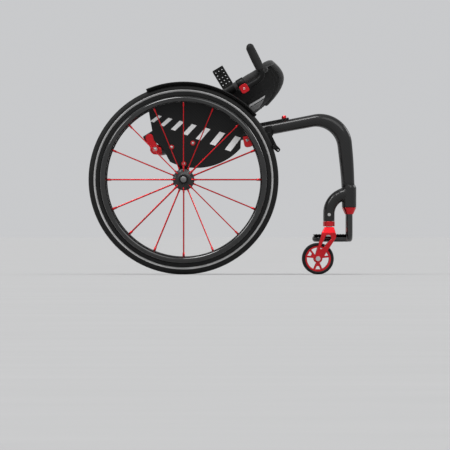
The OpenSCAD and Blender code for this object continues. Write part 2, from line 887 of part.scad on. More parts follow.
// Folded back sling: a deep trough between the canes whose top edge bulges past their ends
module back_sling() {
    low_at = 50;
    low_sag = 24;
    deepest = 0.75;
    rows = 12;
    half = side_y - sleeve_r - 0.6;
    function depth(t) = back_sag - (back_sag - low_sag) * pow((t - deepest) / deepest, 2);
    function top_at(q) = 455 + 30 * q - 107 * pow(q, 3.5);
    function point(s, t, inset) =
        let (q = 1 - pow(abs(s), 4), u = low_at + t * (top_at(q) - low_at))
        [u, (half - inset) * s, cane_offset - (depth(t) - inset) * q];
    columns = [for (k = [-10:10]) sign(k) * (1 - pow(1 - abs(k) / 10, 1.6))];
    color(cloth) on_backrest() between_grids(
        [for (i = [0:rows]) [for (s = columns) point(s, i / rows, 0)]],
        [for (i = [0:rows]) [for (s = columns) point(s, i / rows, 8)]]);
}

tyre();  // tyre_left
right_side() tyre();  // tyre_right
rim();  // rim_left
right_side() rim();  // rim_right
spokes();  // spokes_left
right_side() spokes();  // spokes_right
hub();  // hub_left
right_side() hub();  // hub_right
hub_bearings();  // hub_bearings_left
right_side() hub_bearings();  // hub_bearings_right
handrim();  // handrim_left
right_side() handrim();  // handrim_right
axle_button();  // axle_button_left
right_side() axle_button();  // axle_button_right
axles();
caster_tyre();  // caster_tyre_left
right_side() caster_tyre();  // caster_tyre_right
caster_rim();  // caster_rim_left
right_side() caster_rim();  // caster_rim_right
caster_bearings();  // caster_bearings_left
right_side() caster_bearings();  // caster_bearings_right
caster_axle();  // caster_axle_left
right_side() caster_axle();  // caster_axle_right
fork();  // fork_left
right_side() fork();  // fork_right
fork_stem();  // fork_stem_left
right_side() fork_stem();  // fork_stem_right
head_bearings();
head_collars();
head_screws();
side_frame();  // side_frame_left
right_side() side_frame();  // side_frame_right
front_node();  // front_node_left
right_side() front_node();  // front_node_right
camber_tube();
axle_plates();
axle_receivers();
frame_bolts();
cross_tube();
rail_clamps();
side_guard();  // side_guard_left
right_side() side_guard();  // side_guard_right
hinge_brackets();
hinge_pins();
seat_sling();
seat_caps();
footrest_cones();
footrest_tube();
footplate();
brake_clamps();
brake_lever();  // brake_lever_left
right_side() brake_lever();  // brake_lever_right
canes();
hinge_lugs();
handle_tubes();
grips();
handle_clamps();
carrier_plates();
crossbar();
back_sling();
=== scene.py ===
"""Looks of a rigid-frame wheelchair with a fold-down backrest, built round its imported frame.

Metres. +X is forward, +Y is the sitter's left, +Z is up. Left-hand pieces are drawn where they
lie, and side -1 mirrors them.
"""

import json
import math

import bpy
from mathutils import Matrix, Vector, noise


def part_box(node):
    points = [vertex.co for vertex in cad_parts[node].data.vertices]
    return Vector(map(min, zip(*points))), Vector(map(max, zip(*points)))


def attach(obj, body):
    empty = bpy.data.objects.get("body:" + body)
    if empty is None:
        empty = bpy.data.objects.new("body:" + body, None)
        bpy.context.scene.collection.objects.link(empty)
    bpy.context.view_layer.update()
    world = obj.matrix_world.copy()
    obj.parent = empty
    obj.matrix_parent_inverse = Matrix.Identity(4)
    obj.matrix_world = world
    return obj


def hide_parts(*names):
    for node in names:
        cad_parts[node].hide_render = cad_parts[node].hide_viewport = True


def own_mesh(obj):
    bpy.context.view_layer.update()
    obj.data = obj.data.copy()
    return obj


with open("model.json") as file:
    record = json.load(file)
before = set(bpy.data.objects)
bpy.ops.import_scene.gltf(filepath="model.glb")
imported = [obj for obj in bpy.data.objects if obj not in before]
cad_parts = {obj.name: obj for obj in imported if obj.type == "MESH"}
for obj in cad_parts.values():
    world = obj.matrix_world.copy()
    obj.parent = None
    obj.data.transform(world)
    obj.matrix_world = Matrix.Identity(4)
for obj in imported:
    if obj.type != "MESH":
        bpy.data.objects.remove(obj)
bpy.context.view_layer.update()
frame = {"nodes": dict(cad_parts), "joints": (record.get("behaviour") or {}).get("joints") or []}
NODES = frame["nodes"]
MM = 0.001
SIDES = (("left", 1), ("right", -1))
TAU = 2 * math.pi


# ---- Places taken from the frame ----


def middle(node):
    """Centre of a CAD node's box."""
    low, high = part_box(node)
    return (low + high) / 2


def half_size(node):
    low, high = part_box(node)
    return (high - low) / 2


def joint_point(joint):
    """A point on a joint's axis."""
    return Vector(next(j["pos_m"] for j in frame["joints"] if j["name"] == joint))


WHEEL = middle("tyre_left")
TYRE_R = half_size("tyre_left").z
CASTER = middle("caster_tyre_left")
CASTER_R = half_size("caster_tyre_left").z
RAIL_Y = CASTER.y
PIVOT = joint_point("backrest_fold")
FOLD = math.radians(31)
CANE_V = 38.7 * MM
CLAMP_U = 335 * MM
HANDLE_V = 18.5 * MM
ALONG_CANE = Vector((math.cos(FOLD), 0, math.sin(FOLD)))
OFF_CANE = Vector((-math.sin(FOLD), 0, math.cos(FOLD)))


def on_back(u, y, v):
    """A point of the folded backrest: u along the canes from the hinge, v away from the sitter."""
    return PIVOT + ALONG_CANE * u + OFF_CANE * v + Vector((0, y, 0))


# ---- Node materials ----

# Sockets of a Mix node: first value, second value and result.
MIX_NUMBERS, MIX_COLOURS = (2, 3, 0), (6, 7, 2)


class Paint:
    """A material with one Principled shader, and short ways to add nodes to it."""

    def __init__(self, name, **sockets):
        self.material = bpy.data.materials.new(name)
        self.material.use_nodes = True
        self.tree = self.material.node_tree
        self.shader = self.tree.nodes["Principled BSDF"]
        for socket, value in sockets.items():
            self.shader.inputs[socket.replace("_", " ")].default_value = value

    def node(self, kind, **inputs):
        made = self.tree.nodes.new(kind)
        for socket, value in inputs.items():
            self.feed(made.inputs[socket], value)
        return made

    def feed(self, socket, value):
        if isinstance(value, bpy.types.NodeSocket):
            self.tree.links.new(value, socket)
        else:
            socket.default_value = value

    def math(self, operation, *values):
        made = self.tree.nodes.new("ShaderNodeMath")
        made.operation = operation
        for socket, value in zip(made.inputs, values):
            self.feed(socket, value)
        return made.outputs[0]

    def mix(self, data_type, sockets, share, a, b):
        """a where share is 0, b where it is 1."""
        first, second, result = sockets
        made = self.tree.nodes.new("ShaderNodeMix")
        made.data_type = data_type
        self.feed(made.inputs[0], share)
        self.feed(made.inputs[first], a)
        self.feed(made.inputs[second], b)
        return made.outputs[result]

    def blend(self, share, a, b):
        """A mix of two numbers."""
        return self.mix("FLOAT", MIX_NUMBERS, share, a, b)

    def tint(self, share, a, b):
        """A mix of two colours."""
        return self.mix("RGBA", MIX_COLOURS, share, a, b)

    def ramp(self, value, low, high):
        """0 where the value is low, 1 where it is high."""
        made = self.tree.nodes.new("ShaderNodeMapRange")
        self.feed(made.inputs["Value"], value)
        made.inputs["From Min"].default_value = low
        made.inputs["From Max"].default_value = high
        return made.outputs[0]

    def place(self):
        """Object coordinates, which are the frame's own at rest."""
        return self.node("ShaderNodeTexCoord").outputs["Object"]

    def grain(self, scale, detail=4.0, roughness=0.6):
        made = self.node("ShaderNodeTexNoise", Vector=self.place(), Scale=scale, Detail=detail)
        made.inputs["Roughness"].default_value = roughness
        return made.outputs[0]

    def edge_wear(self, radius):
        """(normal with rounded edges, wear that is 0 on flat metal and up to 1 along its edges)."""
        rounded = self.tree.nodes.new("ShaderNodeBevel")
        rounded.samples = 4
        rounded.inputs["Radius"].default_value = radius
        plain = self.node("ShaderNodeNewGeometry").outputs["Normal"]
        dot = self.tree.nodes.new("ShaderNodeVectorMath")
        dot.operation = "DOT_PRODUCT"
        self.feed(dot.inputs[0], rounded.outputs[0])
        self.feed(dot.inputs[1], plain)
        return rounded.outputs[0], self.ramp(dot.outputs["Value"], 0.97, 0.80)

    def bump(self, height, distance, strength=1.0, normal=None):
        made = self.tree.nodes.new("ShaderNodeBump")
        made.inputs["Distance"].default_value = distance
        made.inputs["Strength"].default_value = strength
        self.feed(made.inputs["Height"], height)
        if normal is not None:
            self.feed(made.inputs["Normal"], normal)
        self.set("Normal", made.outputs[0])

    def set(self, socket, value):
        self.feed(self.shader.inputs[socket], value)

    def facing_plane(self):
        """Two coordinates that lie in the surface, whichever way it faces."""
        coords = self.node("ShaderNodeTexCoord")
        place = self.node("ShaderNodeSeparateXYZ", Vector=coords.outputs["Object"]).outputs
        facing = self.node("ShaderNodeSeparateXYZ", Vector=coords.outputs["Normal"]).outputs
        nx, ny, nz = (self.math("ABSOLUTE", facing[k]) for k in range(3))
        sideways = self.math("GREATER_THAN", ny, self.math("MAXIMUM", nx, nz))
        upright = self.math("GREATER_THAN", nz, nx)
        a = self.blend(sideways, self.blend(upright, place[1], place[0]), place[0])
        b = self.blend(sideways, self.blend(upright, place[2], place[1]), place[2])
        return a, b

    def weave(self, a, b, pitch, over):
        """A woven pattern: (1 where the warp is on top, height of the threads)."""
        u, v = self.math("DIVIDE", a, pitch), self.math("DIVIDE", b, pitch)
        step = self.math("ADD", self.math("FLOOR", u), self.math("FLOOR", v))
        warp = self.math("LESS_THAN", self.math("FLOORED_MODULO", step, float(2 * over)), float(over))
        crown_u = self.math("PINGPONG", u, 0.5)
        crown_v = self.math("PINGPONG", v, 0.5)
        return warp, self.blend(warp, crown_u, crown_v)


def grey(value, warm=0.0):
    """A grey, a little redder and less blue where warm is above 0."""
    return (value * (1 + warm), value, value * (1 - warm), 1)


def shade(colour, share):
    """The colour times a share, still opaque."""
    return tuple(c * share for c in colour[:3]) + (1,)


def carbon(name, coat, weft, warp):
    """Clear-coated 2 x 2 twill."""
    p = Paint(name, IOR=1.5, Coat_Weight=coat, Coat_Roughness=0.07)
    p.shader.inputs["Specular IOR Level"].default_value = 0.15
    over, height = p.weave(*p.facing_plane(), 2.2 * MM, 2)
    cloud = p.ramp(p.grain(9.0), 0.3, 0.7)
    p.set("Base Color", p.tint(over, p.tint(cloud, grey(weft), grey(weft * 1.5)),
                               p.tint(cloud, grey(warp), grey(warp * 1.3))))
    p.set("Roughness", p.blend(over, 0.46, 0.34))
    p.bump(height, 0.05 * MM, 0.35)
    return p.material


def anodised(name, colour, bright, roughness, wear_colour, coat=0.0):
    """Anodised aluminium: fine machining grain, softened edges that are a little lighter."""
    p = Paint(name, Metallic=1.0, Coat_Weight=coat, Coat_Roughness=0.08)
    rounded, worn = p.edge_wear(0.7 * MM)
    patch = p.ramp(p.grain(35.0), 0.35, 0.65)
    worn = p.math("MULTIPLY", worn, p.ramp(p.grain(260.0), 0.42, 0.62))
    p.set("Base Color", p.tint(worn, p.tint(patch, colour, bright), wear_colour))
    fine = p.grain(1500.0, 2.0)
    base = p.blend(patch, roughness, roughness + 0.05)
    p.set("Roughness", p.math("ADD", p.math("MULTIPLY", fine, 0.16), base))
    p.bump(fine, 0.03 * MM, 0.3, rounded)
    return p.material


def rubber(name, dark, light, scale, depth):
    """Moulded rubber with a fine grain and a faint bloom of dust."""
    p = Paint(name, IOR=1.5)
    p.shader.inputs["Specular IOR Level"].default_value = 0.2
    dust = p.ramp(p.grain(14.0, 6.0), 0.42, 0.75)
    grains = p.grain(scale, 3.0)
    p.set("Base Color", p.tint(dust, dark, light))
    p.set("Roughness", p.blend(dust, 0.55, 0.78))
    p.bump(grains, depth, 0.6)
    return p.material


def cloth(name, thread, gap_shade_colour, pitch, over, sheen=0.25):
    """Woven nylon: raised threads with painted shade darkening their sides and the gaps between them, and a
    soft sheen.
    """
    p = Paint(name, Roughness=0.85, Sheen_Weight=sheen, Sheen_Roughness=0.45)
    p.shader.inputs["Specular IOR Level"].default_value = 0.25
    on_top, height = p.weave(*p.facing_plane(), pitch, over)
    fade = p.ramp(p.grain(11.0, 5.0), 0.3, 0.75)
    warp = p.tint(fade, thread, shade(thread, 1.5))
    # Painted shade: the colour falls from the thread colour on each crown to the dark gap colour between the
    # threads.
    crown = p.math("MULTIPLY", height, 2.0)
    p.set("Base Color", p.tint(crown, gap_shade_colour, p.tint(on_top, warp, shade(thread, 0.8))))
    p.bump(height, 0.25 * MM, 0.7)
    return p.material


def steel(name, value, roughness):
    """Bright turned steel: fine noise in the roughness, cloudy tone and soft edges."""
    p = Paint(name, Metallic=1.0)
    rounded, _ = p.edge_wear(0.4 * MM)
    brushed = p.grain(700.0, 3.0)
    cloud = p.ramp(p.grain(60.0), 0.3, 0.7)
    p.set("Base Color", p.tint(cloud, grey(value, 0.01), grey(value * 0.82, 0.02)))
    p.set("Roughness", p.math("ADD", p.math("MULTIPLY", brushed, 0.2), roughness))
    p.bump(brushed, 0.02 * MM, 0.2, rounded)
    return p.material


def reflective():
    """Retroreflective band: pale grey with a honeycomb of tiny cells."""
    p = Paint("reflective_band", Metallic=0.2, Coat_Weight=0.3, Coat_Roughness=0.2)
    cells = p.node("ShaderNodeTexVoronoi", Vector=p.place(), Scale=900.0)
    cells.feature = "DISTANCE_TO_EDGE"
    wall = p.ramp(cells.outputs["Distance"], 0.0, 0.12)
    dirt = p.ramp(p.grain(20.0, 6.0), 0.35, 0.8)
    p.set("Base Color", p.tint(dirt, p.tint(wall, grey(0.42), grey(0.66)), grey(0.38, 0.02)))
    p.set("Roughness", p.blend(wall, 0.6, 0.38))
    p.bump(wall, 0.05 * MM, 0.4)
    return p.material


def printed():
    """Pale print on the guard, a little worn."""
    p = Paint("pale_print", IOR=1.45, Coat_Weight=0.4, Coat_Roughness=0.12)
    rub = p.ramp(p.grain(420.0, 5.0), 0.62, 0.78)
    p.set("Base Color", p.tint(rub, grey(0.86), grey(0.5)))
    p.set("Roughness", p.blend(rub, 0.32, 0.5))
    p.bump(p.grain(2500.0, 2.0), 0.02 * MM, 0.2)
    return p.material


def floor_paint():
    p = Paint("studio_floor", Roughness=0.9)
    p.shader.inputs["Specular IOR Level"].default_value = 0.1
    p.set("Base Color", p.tint(p.ramp(p.grain(1.5), 0.3, 0.7), grey(0.430), grey(0.450)))
    return p.material


CARBON = carbon("carbon_gloss", 0.45, 0.005, 0.011)
CARBON_SATIN = carbon("carbon_satin", 0.15, 0.004, 0.008)
RED = anodised("red_anodised", (0.56, 0.006, 0.012, 1), (0.68, 0.010, 0.018, 1), 0.20,
               (0.85, 0.22, 0.22, 1), 0.5)
BLACK = anodised("black_anodised", grey(0.018), grey(0.026), 0.30, grey(0.12))
GLOSS_BLACK = anodised("handrim_black", grey(0.022), grey(0.030), 0.10, grey(0.1), 1.0)
GUNMETAL = anodised("gunmetal", grey(0.045), grey(0.060), 0.24, grey(0.2))
BUTTON_GREY = anodised("button_grey", grey(0.15), grey(0.20), 0.26, grey(0.35))
STEEL = steel("bright_steel", 0.62, 0.16)
TYRE = rubber("tyre_rubber", grey(0.005), grey(0.012, 0.03), 1400.0, 0.05 * MM)
CASTER_RUBBER = rubber("caster_rubber", grey(0.004), grey(0.009, 0.02), 2000.0, 0.03 * MM)
GRIP = rubber("grip_rubber", grey(0.011), grey(0.020), 1800.0, 0.08 * MM)
CLOTH = cloth("sling_cloth", grey(0.022), grey(0.005), 0.9 * MM, 1)
# Lighter copy of the sling cloth for the hem: painted light, standing for the light on the hem while the
# sling's face is in shade.
LIT_HEM_CLOTH = cloth("hem_cloth_painted_light", grey(0.085), grey(0.025), 1.6 * MM, 2, 0.4)
# Lighter copy of the sling cloth for the cane sleeves: painted light on the sleeves.
LIT_SLEEVE_CLOTH = cloth("sleeve_cloth_painted_light", grey(0.050), grey(0.014), 1.1 * MM, 1, 0.4)
BINDING = cloth("edge_binding", grey(0.030), grey(0.008), 0.6 * MM, 2, 0.15)
THREAD = cloth("stitching_thread", grey(0.09), grey(0.02), 0.4 * MM, 1, 0.1)
PATCH = cloth("woven_patch", grey(0.50), grey(0.24), 1.3 * MM, 1, 0.1)
PATCH_EDGE = cloth("patch_edge", grey(0.90), grey(0.80), 0.7 * MM, 1, 0.2)
BAND = reflective()
PRINT = printed()

NODE_PAINT = {
    CARBON_SATIN: ["side_guard_left", "side_guard_right", "rim_left", "rim_right"],
    RED: ["spokes_left", "spokes_right", "caster_rim_left", "caster_rim_right", "head_collars",
          "rail_clamps", "hinge_brackets", "footrest_cones", "seat_caps", "frame_bolts"],
    BLACK: ["axles", "camber_tube", "axle_plates", "cross_tube", "hub_bearings_left",
            "hub_bearings_right", "footplate", "brake_clamps", "brake_lever_left",
            "brake_lever_right", "canes", "handle_tubes", "carrier_plates", "crossbar"],
    GLOSS_BLACK: ["handrim_left", "handrim_right", "footrest_tube"],
    STEEL: ["caster_bearings_left", "caster_bearings_right", "caster_axle_left", "caster_axle_right",
            "fork_stem_left", "fork_stem_right", "head_bearings", "head_screws", "axle_receivers",
            "hinge_pins"],
}


def paint_nodes():
    """Paints the CAD nodes that stay visible, which are the ones no piece stands for."""
    for material, names in NODE_PAINT.items():
        for name in names:
            slots = NODES[name].material_slots
            for slot in slots:
                slot.material = material
            if not slots:
                NODES[name].data.materials.append(material)


# ---- Making pieces ----


def piece(name, points, faces, material, body, slot, side=1, stands_for=()):
    """A smooth mesh piece. Points are left-hand ones; side -1 mirrors them."""
    mesh = bpy.data.meshes.new(name)
    mesh.from_pydata([(p[0], side * p[1], p[2]) for p in points], [],
                     [f if side > 0 else f[::-1] for f in faces])
    mesh.validate()
    for polygon in mesh.polygons:
        polygon.use_smooth = True
    mesh.materials.append(material)
    made = bpy.data.objects.new(name, mesh)
    bpy.context.scene.collection.objects.link(made)
    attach(made, body)
    if stands_for:
        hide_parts(*stands_for)
    return made


def apply_modifiers(made):
    """Gives the object its final mesh and takes its modifiers away."""
    view = bpy.context.evaluated_depsgraph_get()
    view.update()
    final = bpy.data.meshes.new_from_object(made.evaluated_get(view))
    made.modifiers.clear()
    made.data = final


def melt(made, voxel, rounds):
    """Merges the piece's solids into one skin and rounds its edges, as on a casting."""
    remesh = made.modifiers.new("merge", "REMESH")
    remesh.mode = "VOXEL"
    remesh.voxel_size = voxel
    remesh.use_smooth_shade = True
    relax = made.modifiers.new("relax", "SMOOTH")
    relax.factor, relax.iterations = 0.6, rounds
    apply_modifiers(made)


def cad_shape(node):
    """The points and faces of a CAD node."""
    mesh = NODES[node].data
    return [v.co.copy() for v in mesh.vertices], [tuple(p.vertices) for p in mesh.polygons]


def grid_faces(rows, columns, wrap_rows=False, wrap_columns=False):
    """Quads of a grid of points numbered row by row."""
    return [
        (i * columns + j, i * columns + (j + 1) % columns,
         (i + 1) % rows * columns + (j + 1) % columns, (i + 1) % rows * columns + j)
        for i in range(rows - (not wrap_rows))
        for j in range(columns - (not wrap_columns))
    ]


def closed_sheet(first, second, rows, columns, first_faces_up):
    """Two like grids of points, one over the other, joined round their edge."""
    count = rows * columns
    over = grid_faces(rows, columns)
    edge = ([j for j in range(columns)] + [i * columns + columns - 1 for i in range(1, rows)]
            + [(rows - 1) * columns + j for j in range(columns - 2, -1, -1)]
            + [i * columns for i in range(rows - 2, 0, -1)])
    skirt = [(b, a, a + count, b + count) for a, b in zip(edge, edge[1:] + edge[:1])]
    faces = over + [tuple(i + count for i in f[::-1]) for f in over] + skirt
    return list(first) + list(second), faces if first_faces_up else [f[::-1] for f in faces]


def ring_mesh(centre, profile, steps):
    """A closed profile of (radius, y) turned about an axle along Y. The profile may take the turn."""
    at = profile if callable(profile) else lambda turn: profile
    points = []
    for k in range(steps):
        turn = TAU * k / steps
        points += [(centre.x + r * math.cos(turn), centre.y + y, centre.z + r * math.sin(turn))
                   for r, y in at(turn)]
    return points, grid_faces(steps, len(at(0.0)), True, True)


def tube_faces(rings, sides):
    """Faces of a row of rings, closed with a cap at each end."""
    last = (rings - 1) * sides
    caps = [tuple(range(sides))[::-1], tuple(last + k for k in range(sides))]
    return grid_faces(rings, sides, False, True) + caps


def capped_tube(stations, sides=48):
    """A closed tube through stations (point, direction, half width up, half width along Y)."""
    points = []
    for point, direction, half_up, half_y in stations:
        up = Vector((-direction.z, 0, direction.x)).normalized()
        for k in range(sides):
            a = TAU * k / sides
            points.append(point + up * (half_up * math.cos(a)) + Vector((0, half_y * math.sin(a), 0)))
    return points, tube_faces(len(stations), sides)


def swept(route, radius, sides=12):
    """A round cord or piping along a route of points."""
    count = len(route)
    points = []
    up = Vector((0, 0, 1))
    for i, at in enumerate(route):
        direction = (route[min(i + 1, count - 1)] - route[max(i - 1, 0)]).normalized()
        side_way = direction.cross(up)
        if side_way.length < 1e-4:
            side_way = direction.cross(Vector((0, 1, 0)))
        side_way.normalize()
        up = side_way.cross(direction).normalized()
        for k in range(sides):
            a = TAU * k / sides
            points.append(at + side_way * (radius * math.cos(a)) + up * (radius * math.sin(a)))
    return points, tube_faces(count, sides)


def joined(parts):
    """Several (points, faces) as one."""
    points, faces = [], []
    for more_points, more_faces in parts:
        faces += [tuple(i + len(points) for i in f) for f in more_faces]
        points += list(more_points)
    return points, faces


def square_axes(axis):
    """The axis and two more directions square to it and to each other."""
    axis = axis.normalized()
    across = axis.cross(Vector((0, 1, 0)))
    if across.length < 1e-4:
        across = Vector((1, 0, 0))
    across.normalize()
    return axis, across, axis.cross(across)


def lathe(base, axis, profile, steps=40):
    """A solid of revolution: profile of (distance along the axis, radius), closed at both ends."""
    axis, across, other = square_axes(axis)
    points = []
    for h, r in profile:
        for k in range(steps):
            a = TAU * k / steps
            points.append(base + axis * h + (across * math.cos(a) + other * math.sin(a)) * r)
    return points, tube_faces(len(profile), steps)


def prism(outline, low, high, place):
    """A flat plate: outline is a loop of (a, b), and place(a, b, h) puts a point in space."""
    count = len(outline)
    points = [place(a, b, h) for h in (low, high) for a, b in outline]
    faces = [tuple(range(count)), tuple(range(2 * count - 1, count - 1, -1))]
    faces += [(k, count + k, count + (k + 1) % count, (k + 1) % count) for k in range(count)]
    return points, faces


# ---- Rear wheels ----

SECTION_R = 12.5 * MM
SECTION_AT = TYRE_R - SECTION_R
RIM_INNER = 239.5 * MM
SPOKES = 16
FLANGE_Y = 22 * MM


def tyre_profile(turn):
    """Round section with a tread of slanted blocks between two grooves."""
    sides, blocks, gap = 44, 150, 0.34
    points = []
    for k in range(sides):
        a = TAU * k / sides
        off_crown = abs(math.degrees(math.atan2(math.sin(a), math.cos(a))))
        depth = 0.0
        if 14 <= off_crown <= 24:
            depth = 0.9 * MM
        elif 24 < off_crown <= 56:
            slant = math.copysign(off_crown, math.sin(a)) / 260
            if (turn * blocks / TAU + slant * 5) % 1 < gap:
                depth = 0.8 * MM
        elif off_crown > 56:
            depth = 0.25 * MM
        r = SECTION_R - depth
        points.append((SECTION_AT + r * math.cos(a), r * math.sin(a)))
    return points


def band_profile():
    """Strip that lies on the outer sidewall, 0.35 mm thick."""
    over, under = [], []
    for k in range(9):
        a = math.radians(107 + 35 * k / 8)
        for row, r in ((over, SECTION_R + 0.35 * MM), (under, SECTION_R - 0.45 * MM)):
            row.append((SECTION_AT + r * math.cos(a), r * math.sin(a)))
    return over + under[::-1]


def hub_profile(turn):
    """Section of the hub as (radius, y). Each flange dips where the other one's spokes pass it."""

    def flange(phase):
        away = math.cos(SPOKES / 2 * turn - phase)
        return (33 - 7.5 * max(0.0, -away) ** 0.8) * MM

    outer, inner = flange(0.0), flange(math.pi)
    edge = 0.9 * MM
    right = [(14, 28.6), (14.4, 29), (16.4, 29), (17, 28.4), (17, 25.9), (17.6, 25.2), (22.6, 25.2),
             (23.4, 24.6)]
    left = [(17.6, -25.0), (17, -25.8), (17, -30.4), (16.4, -31), (14.4, -31), (14, -30.6), (14, -23),
            (10, -23), (10, 21), (14, 21)]
    points = [(r * MM, y * MM) for r, y in right]
    points += [(outer - edge, 24.6 * MM), (outer, 23.7 * MM), (outer, 20.2 * MM), (outer - edge, 19.3 * MM),
               (15.6 * MM, 18.4 * MM), (14.5 * MM, 16 * MM), (14.5 * MM, -16 * MM), (15.6 * MM, -18.4 * MM),
               (inner - edge, -19.3 * MM), (inner, -20.2 * MM), (inner, -23.7 * MM),
               (inner - edge, -24.6 * MM)]
    return points + [(r * MM, y * MM) for r, y in left]


def axle_cap(label, side):
    """Domed release button and its stem in the end of the axle."""
    low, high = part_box("axle_button_left")
    stem = high.y - low.y - 2.6 * MM
    profile = [(0, 4.15 * MM), (stem, 4.15 * MM), (stem, 9.0 * MM), (stem + 0.7 * MM, 9.3 * MM)]
    for k in range(1, 10):
        a = math.pi / 2 * k / 10
        profile.append((stem + (0.7 + 2.1 * math.sin(a)) * MM, 9.3 * MM * math.cos(a)))
    base = Vector((WHEEL.x, low.y, WHEEL.z))
    piece("axle_cap_" + label, *lathe(base, Vector((0, 1, 0)), profile, 48), BUTTON_GREY,
          "axle_button_" + label, "black_metal", side, ["axle_button_" + label])


def spoke_ends():
    """The nipple at the rim, and the seat and head at the hub flange, of each spoke."""
    nipples, seats = [], []
    for k in range(SPOKES):
        flange = FLANGE_Y if k % 2 == 0 else -FLANGE_Y
        turn = TAU * k / SPOKES
        out = Vector((math.cos(turn), 0, -math.sin(turn)))
        start = WHEEL + out * (27 * MM) + Vector((0, flange, 0))
        end = WHEEL + out * (246 * MM)
        way = (end - start).normalized()
        base = WHEEL + out * RIM_INNER - way * (13 * MM)
        nipples.append(lathe(base, way, [(0, 2.1 * MM), (1 * MM, 2.9 * MM), (9 * MM, 3.1 * MM),
                                         (13.5 * MM, 3.5 * MM)], 12))
        root = start + way * (5.5 * MM)
        seats.append(lathe(root, way, [(0, 2.9 * MM), (5 * MM, 2.7 * MM), (8 * MM, 2.0 * MM)], 12))
        head = WHEEL + out * (24.5 * MM) + Vector((0, flange + math.copysign(2.3 * MM, flange), 0))
        seats.append(lathe(head, out, [(0, 1.2 * MM), (0.6 * MM, 2.1 * MM), (8 * MM, 2.1 * MM),
                                       (9 * MM, 1.4 * MM)], 12))
    return joined(nipples + seats)


def rear_wheel(label, side):
    body = "rear_wheel_" + label
    piece("hub_shell_" + label, *ring_mesh(WHEEL, hub_profile, 256), GUNMETAL, body, "black_metal", side,
          ["hub_" + label])
    piece("tyre_tread_" + label, *ring_mesh(WHEEL, tyre_profile, 450), TYRE, body, "tyre_rubber",
          side, ["tyre_" + label])
    piece("tyre_band_" + label, *ring_mesh(WHEEL, band_profile(), 240), BAND, body, "tyre_rubber", side)
    piece("spoke_nipples_" + label, *spoke_ends(), RED, body, "red_anodised", side)


# ---- Casters ----


def caster_profile():
    """Rounded tread with one shallow groove either side of the crown."""
    half = half_size("caster_tyre_left").y
    inner = 40 * MM
    points = [(inner, -half + 0.6 * MM)]
    for k in range(29):
        a = math.pi * (k / 28 - 0.5)
        crown = math.copysign(abs(math.sin(a)) ** 0.62, a)
        r = inner + (CASTER_R - inner) * abs(math.cos(a)) ** 0.34
        groove = 0.5 * MM if 0.30 < abs(crown) < 0.42 else 0
        points.append((max(r - groove, inner), crown * half))
    points.append((inner, half - 0.6 * MM))
    return points


def fork(label):
    """Forged fork: the CAD shape with rounded edges."""
    made = piece("fork_body_" + label, *cad_shape("fork_" + label), RED, "caster_fork_" + label,
                 "red_anodised", 1, ["fork_" + label])
    melt(made, 0.8 * MM, 9)


def caster(label, side):
    fork(label)
    piece("caster_tread_" + label, *ring_mesh(CASTER, caster_profile(), 120), CASTER_RUBBER,
          "caster_wheel_" + label, "tyre_rubber", side, ["caster_tyre_" + label])


# ---- Carbon side frames ----

RAIL_R = 17.5 * MM
RAIL_SLOPE = math.radians(10.8)
BEND_R = 84 * MM
DOWN = math.radians(-85.8)


def rail_z(x):
    """Height of the middle of the straight rail."""
    passes_x, passes_z = 240.6 * MM, 470.7 * MM
    return passes_z + math.tan(RAIL_SLOPE) * (x - passes_x)


def heading(angle):
    """Direction in the XZ plane, from forward towards up."""
    return Vector((math.cos(angle), 0, math.sin(angle)))


def frame_stations():
    """Stations of a carbon side: straight rail, bend that swells, and down tube."""
    start_x, swell_x, end_x = -190 * MM, 200 * MM, 281.6 * MM
    stations = []
    for k in range(9):
        x = start_x + (swell_x - start_x) * k / 8
        stations.append((Vector((x, RAIL_Y, rail_z(x))), heading(RAIL_SLOPE), RAIL_R, RAIL_R))
    for k in range(1, 5):
        x = swell_x + (end_x - swell_x) * k / 5
        stations.append((Vector((x, RAIL_Y, rail_z(x))), heading(RAIL_SLOPE), RAIL_R + 0.1 * MM * k, RAIL_R))
    centre = Vector((end_x + BEND_R * math.sin(RAIL_SLOPE), RAIL_Y,
                     rail_z(end_x) - BEND_R * math.cos(RAIL_SLOPE)))
    steps = 32
    for k in range(steps + 1):
        t = k / steps
        a = RAIL_SLOPE + t * (DOWN - RAIL_SLOPE)
        half = (18 + 4.5 * math.sin(math.radians(125 * t))) * MM
        at = centre + Vector((-BEND_R * math.sin(a), 0, BEND_R * math.cos(a)))
        stations.append((at, heading(a), half, RAIL_R))
    bend_end, low_end = stations[-1][0], Vector((391.4 * MM, RAIL_Y, 272 * MM))
    for k in range(1, 9):
        t = k / 8
        ease = t * t * (3 - 2 * t)
        at = bend_end.lerp(low_end, t)
        at.x += 1.2 * MM * math.sin(math.pi * t)
        angle = DOWN - math.radians(4.2 * t)
        stations.append((at, heading(angle), (21.69 - 2.4 * ease) * MM, (17.5 + 1.6 * ease) * MM))
    return stations


def side_frame(label, side):
    piece("carbon_frame_" + label, *capped_tube(frame_stations(), 64), CARBON, "frame", "carbon",
          side, ["side_frame_" + label])
    _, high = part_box("front_node_left")
    node_x, top = high.x - 21.5 * MM, high.z

    def station(x, z, angle, up, across):
        return Vector((x, side * RAIL_Y, z)), heading(math.radians(angle)), up * MM, across * MM

    collar = [station(node_x - back * MM, top + z * MM, 90, r, r)
              for z, r, back in ((-12, 20.6, 0), (-4, 20.9, 0.3), (2, 20.4, 1.0), (7, 19.6, 1.8))]
    fillet = [station(349.8 * MM, 233.8 * MM, 45, 16.5, 17.0),
              station(367.4 * MM, 246.2 * MM, 25, 19.0, 19.6),
              station(node_x, 254 * MM, 12, 21.5, 21.4)]
    node = joined([cad_shape("front_node_" + label), capped_tube(collar), capped_tube(fillet)])
    made = piece("carbon_node_" + label, *node, CARBON, "frame", "carbon", 1, ["front_node_" + label])
    melt(made, 1.1 * MM, 26)


# ---- Guards: pale bars where the maker's lettering would be ----


